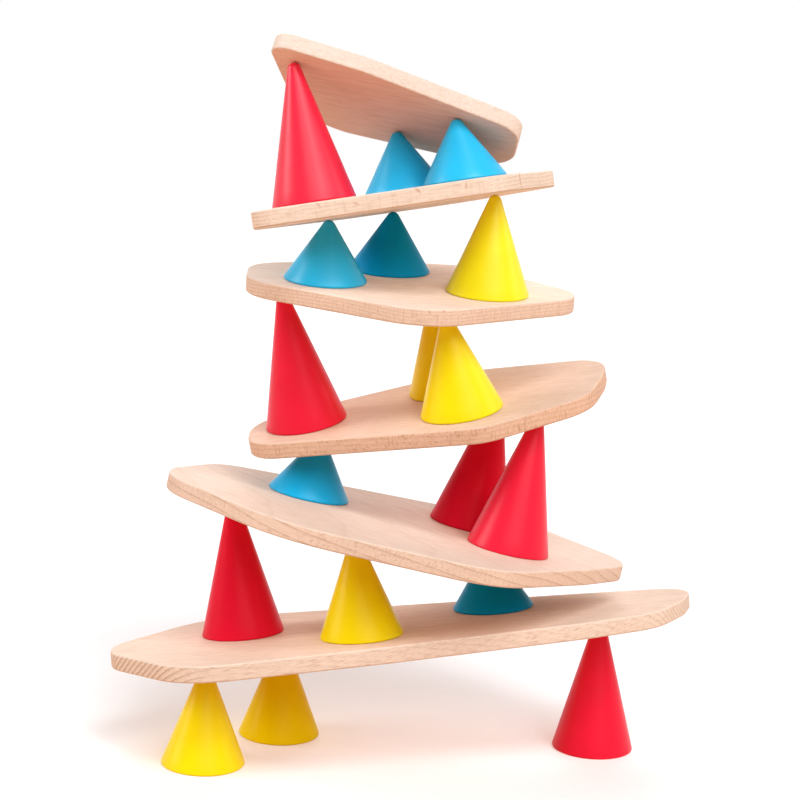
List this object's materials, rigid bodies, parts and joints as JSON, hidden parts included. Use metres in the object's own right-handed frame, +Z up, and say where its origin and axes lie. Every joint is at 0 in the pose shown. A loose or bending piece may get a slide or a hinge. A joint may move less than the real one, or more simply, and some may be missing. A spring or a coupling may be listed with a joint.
{
  "type": "balance construction set",
  "caption": "Leaning tower of loose flat beech boards with rounded uneven outlines, each resting on the tips of three silicone-skinned cones of mixed height.",
  "frame": {"origin": "on the floor, under the middle of the tower's overall box", "axes": "+Z up, +X to the right as the picture shows the tower, +Y away from its viewer"},
  "size_m": [0.2982, 0.1751, 0.3636],
  "materials": {
    "beech_board": "sanded beech, matt, fine straight grain with short flecks",
    "beech_core": "turned beech, matt",
    "red_silicone": "satin silicone",
    "yellow_silicone": "satin silicone",
    "blue_silicone": "satin silicone"
  },
  "bodies": {
    "board_1": {"board_1": "beech_board"},
    "board_2": {"board_2": "beech_board"},
    "board_3": {"board_3": "beech_board"},
    "board_4": {"board_4": "beech_board"},
    "board_5": {"board_5": "beech_board"},
    "board_6": {"board_6": "beech_board"},
    "floor_yellow_front": {"floor_yellow_front_core": "beech_core", "floor_yellow_front_skin": "yellow_silicone"},
    "floor_yellow_back": {"floor_yellow_back_core": "beech_core", "floor_yellow_back_skin": "yellow_silicone"},
    "floor_red": {"floor_red_core": "beech_core", "floor_red_skin": "red_silicone"},
    "level_1_red": {"level_1_red_core": "beech_core", "level_1_red_skin": "red_silicone"},
    "level_1_yellow": {"level_1_yellow_core": "beech_core", "level_1_yellow_skin": "yellow_silicone"},
    "level_1_blue": {"level_1_blue_core": "beech_core", "level_1_blue_skin": "blue_silicone"},
    "level_2_blue": {"level_2_blue_core": "beech_core", "level_2_blue_skin": "blue_silicone"},
    "level_2_red_front": {"level_2_red_front_core": "beech_core", "level_2_red_front_skin": "red_silicone"},
    "level_2_red_back": {"level_2_red_back_core": "beech_core", "level_2_red_back_skin": "red_silicone"},
    "level_3_red": {"level_3_red_core": "beech_core", "level_3_red_skin": "red_silicone"},
    "level_3_yellow_front": {"level_3_yellow_front_core": "beech_core", "level_3_yellow_front_skin": "yellow_silicone"},
    "level_3_yellow_back": {"level_3_yellow_back_core": "beech_core", "level_3_yellow_back_skin": "yellow_silicone"},
    "level_4_blue_left": {"level_4_blue_left_core": "beech_core", "level_4_blue_left_skin": "blue_silicone"},
    "level_4_blue_back": {"level_4_blue_back_core": "beech_core", "level_4_blue_back_skin": "blue_silicone"},
    "level_4_yellow": {"level_4_yellow_core": "beech_core", "level_4_yellow_skin": "yellow_silicone"},
    "level_5_red": {"level_5_red_core": "beech_core", "level_5_red_skin": "red_silicone"},
    "level_5_blue_front": {"level_5_blue_front_core": "beech_core", "level_5_blue_front_skin": "blue_silicone"},
    "level_5_blue_back": {"level_5_blue_back_core": "beech_core", "level_5_blue_back_skin": "blue_silicone"}
  },
  "joints": [
    {"name": "board_2_lift", "type": "slide", "parent": "board_1", "child": "board_2", "axis": [0, 0, 1], "range_m": [0, 0.08]},
    {"name": "board_3_lift", "type": "slide", "parent": "board_2", "child": "board_3", "axis": [0, 0, 1], "range_m": [0, 0.08]},
    {"name": "board_4_lift", "type": "slide", "parent": "board_3", "child": "board_4", "axis": [0, 0, 1], "range_m": [0, 0.08]},
    {"name": "board_5_lift", "type": "slide", "parent": "board_4", "child": "board_5", "axis": [0, 0, 1], "range_m": [0, 0.08]},
    {"name": "board_6_lift", "type": "slide", "parent": "board_5", "child": "board_6", "axis": [0, 0, 1], "range_m": [0, 0.08]},
    {"name": "floor_yellow_front_slide", "type": "slide", "parent": "board_1", "child": "floor_yellow_front", "axis": [0, -1, 0], "range_m": [0, 0.03]},
    {"name": "floor_yellow_back_slide", "type": "slide", "parent": "board_1", "child": "floor_yellow_back", "axis": [1, 0, 0], "range_m": [0, 0.06]},
    {"name": "floor_red_slide", "type": "slide", "parent": "board_1", "child": "floor_red", "axis": [0.7071, -0.7071, 0], "range_m": [0, 0.025]},
    {"name": "level_1_red_slide", "type": "slide", "parent": "board_1", "child": "level_1_red", "axis": [-0.3418, -0.9391, 0.0342], "range_m": [0, 0.045]},
    {"name": "level_1_yellow_slide", "type": "slide", "parent": "board_1", "child": "level_1_yellow", "axis": [-0.3398, 0.9336, -0.1139], "range_m": [0, 0.05]},
    {"name": "level_1_blue_slide", "type": "slide", "parent": "board_1", "child": "level_1_blue", "axis": [-0.4225, -0.9061, 0.022], "range_m": [0, 0.05]},
    {"name": "level_2_blue_slide", "type": "slide", "parent": "board_2", "child": "level_2_blue", "axis": [0.7046, -0.7046, -0.0848], "range_m": [0, 0.06]},
    {"name": "level_2_red_front_slide", "type": "slide", "parent": "board_2", "child": "level_2_red_front", "axis": [0.891, 0.4155, -0.1832], "range_m": [0, 0.025]},
    {"name": "level_2_red_back_slide", "type": "slide", "parent": "board_2", "child": "level_2_red_back", "axis": [0.5672, 0.8101, -0.1483], "range_m": [0, 0.035]},
    {"name": "level_3_red_slide", "type": "slide", "parent": "board_3", "child": "level_3_red", "axis": [-0.5608, -0.801, -0.2095], "range_m": [0, 0.01]},
    {"name": "level_3_yellow_front_slide", "type": "slide", "parent": "board_3", "child": "level_3_yellow_front", "axis": [-0.9711, -0.085, -0.2232], "range_m": [0, 0.02]},
    {"name": "level_3_yellow_back_slide", "type": "slide", "parent": "board_3", "child": "level_3_yellow_back", "axis": [-0.9765, 0, -0.2153], "range_m": [0, 0.022]},
    {"name": "level_4_blue_left_slide", "type": "slide", "parent": "board_4", "child": "level_4_blue_left", "axis": [0.8644, -0.4991, -0.0611], "range_m": [0, 0.045]},
    {"name": "level_4_blue_back_slide", "type": "slide", "parent": "board_4", "child": "level_4_blue_back", "axis": [0.9996, 0, -0.0291], "range_m": [0, 0.03]},
    {"name": "level_4_yellow_slide", "type": "slide", "parent": "board_4", "child": "level_4_yellow", "axis": [0.7658, 0.6426, 0.0241], "range_m": [0, 0.02]},
    {"name": "level_5_red_slide", "type": "slide", "parent": "board_5", "child": "level_5_red", "axis": [-0.691, 0.691, -0.2119], "range_m": [0, 0.012]},
    {"name": "level_5_blue_front_slide", "type": "slide", "parent": "board_5", "child": "level_5_blue_front", "axis": [-0.9294, -0.3383, -0.1474], "range_m": [0, 0.01]},
    {"name": "level_5_blue_back_slide", "type": "slide", "parent": "board_5", "child": "level_5_blue_back", "axis": [-0.8448, 0.4877, -0.2203], "range_m": [0, 0.025]}
  ]
}
